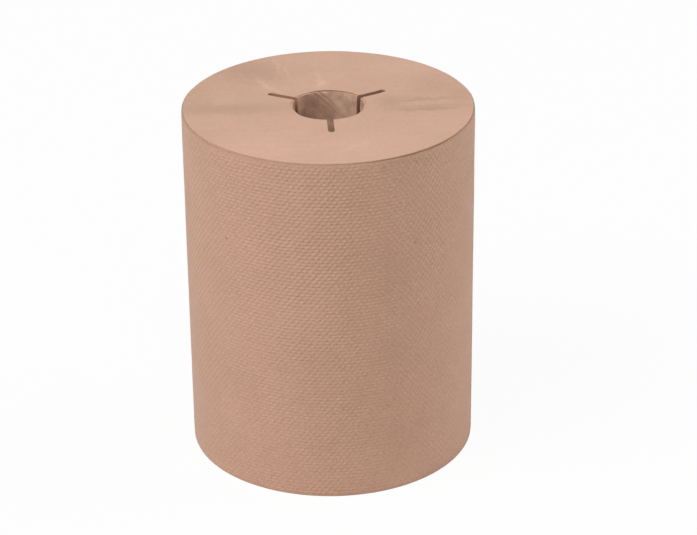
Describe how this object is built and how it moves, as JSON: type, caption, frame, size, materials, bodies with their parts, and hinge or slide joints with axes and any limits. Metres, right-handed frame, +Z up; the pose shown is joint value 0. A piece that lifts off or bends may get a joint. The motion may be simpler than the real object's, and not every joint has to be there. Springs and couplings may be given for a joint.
{
  "type": "paper towel roll",
  "caption": "Hardwound kraft paper towel roll: one embossed web wound on a paperboard core, with three radial hub notches in its upper end.",
  "frame": {"origin": "centre of the end that the roll stands on, on the roll's axis", "axes": "+Z up along the roll's axis to the notched end, -Y out along the front notch"},
  "size_m": [0.203, 0.2032, 0.254],
  "materials": {
    "kraft_tissue": "matte embossed unbleached tissue",
    "core_board": "matte spiral-wound paperboard"
  },
  "bodies": {
    "root": {"towel_web": "kraft_tissue", "core_tube": "core_board"}
  },
  "joints": []
}
